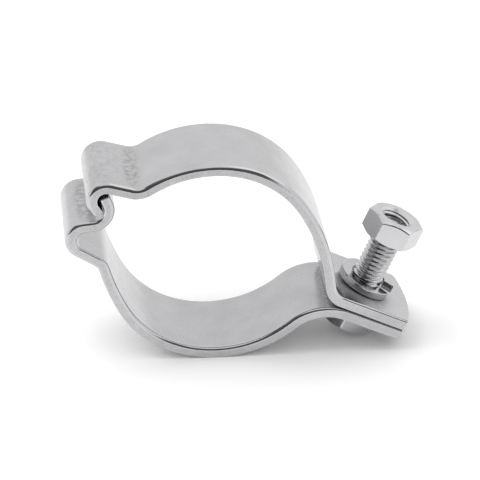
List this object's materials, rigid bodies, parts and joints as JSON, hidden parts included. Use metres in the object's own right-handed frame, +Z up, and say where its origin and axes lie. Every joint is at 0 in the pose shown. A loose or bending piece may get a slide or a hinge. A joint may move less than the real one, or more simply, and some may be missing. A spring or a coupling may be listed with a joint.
{
  "type": "pipe hanger",
  "caption": "Two-part pipe hanger of bent steel strip, hooked together on one side of the pipe and bolted through its tabs on the other, with a nut and a spring washer.",
  "frame": {"origin": "centre of the gripped pipe, half way along the width of the strip", "axes": "+Y along the pipe, +X towards the bolt, +Z up, with the hanger standing on the ring's lowest line and the bolt head"},
  "size_m": [0.0906, 0.024, 0.0542],
  "materials": {
    "strap_steel": "satin",
    "fastener_steel": "bright"
  },
  "bodies": {
    "lower_strap": {"lower_strap": "strap_steel"},
    "upper_strap": {"upper_strap": "strap_steel"},
    "hex_bolt": {"hex_bolt": "fastener_steel"},
    "hex_nut": {"hex_nut": "fastener_steel"},
    "spring_washer": {"spring_washer": "fastener_steel"}
  },
  "joints": [
    {"name": "hook_hinge", "type": "hinge", "parent": "lower_strap", "child": "upper_strap", "pos_m": [-0.0285, 0, 0.0155], "axis": [0, -1, 0], "range_deg": [0, 3.8]},
    {"name": "bolt_turn", "type": "hinge", "parent": "lower_strap", "child": "hex_bolt", "pos_m": [0.03688, 0, -0.01983], "axis": [0.3838, 0, 0.9234], "range_deg": [0, 1440]},
    {"name": "nut_run", "type": "slide", "parent": "lower_strap", "child": "hex_nut", "axis": [0.3838, 0, 0.9234], "range_m": [-0.005, 0]},
    {"name": "washer_turn", "type": "hinge", "parent": "upper_strap", "child": "spring_washer", "pos_m": [0.03989, 0, -0.0126], "axis": [0.4184, 0, 0.9083], "continuous": true}
  ],
  "couplings": [
    {"joint": "nut_run", "follows": "bolt_turn", "m_per_rad": -0.00019894}
  ]
}
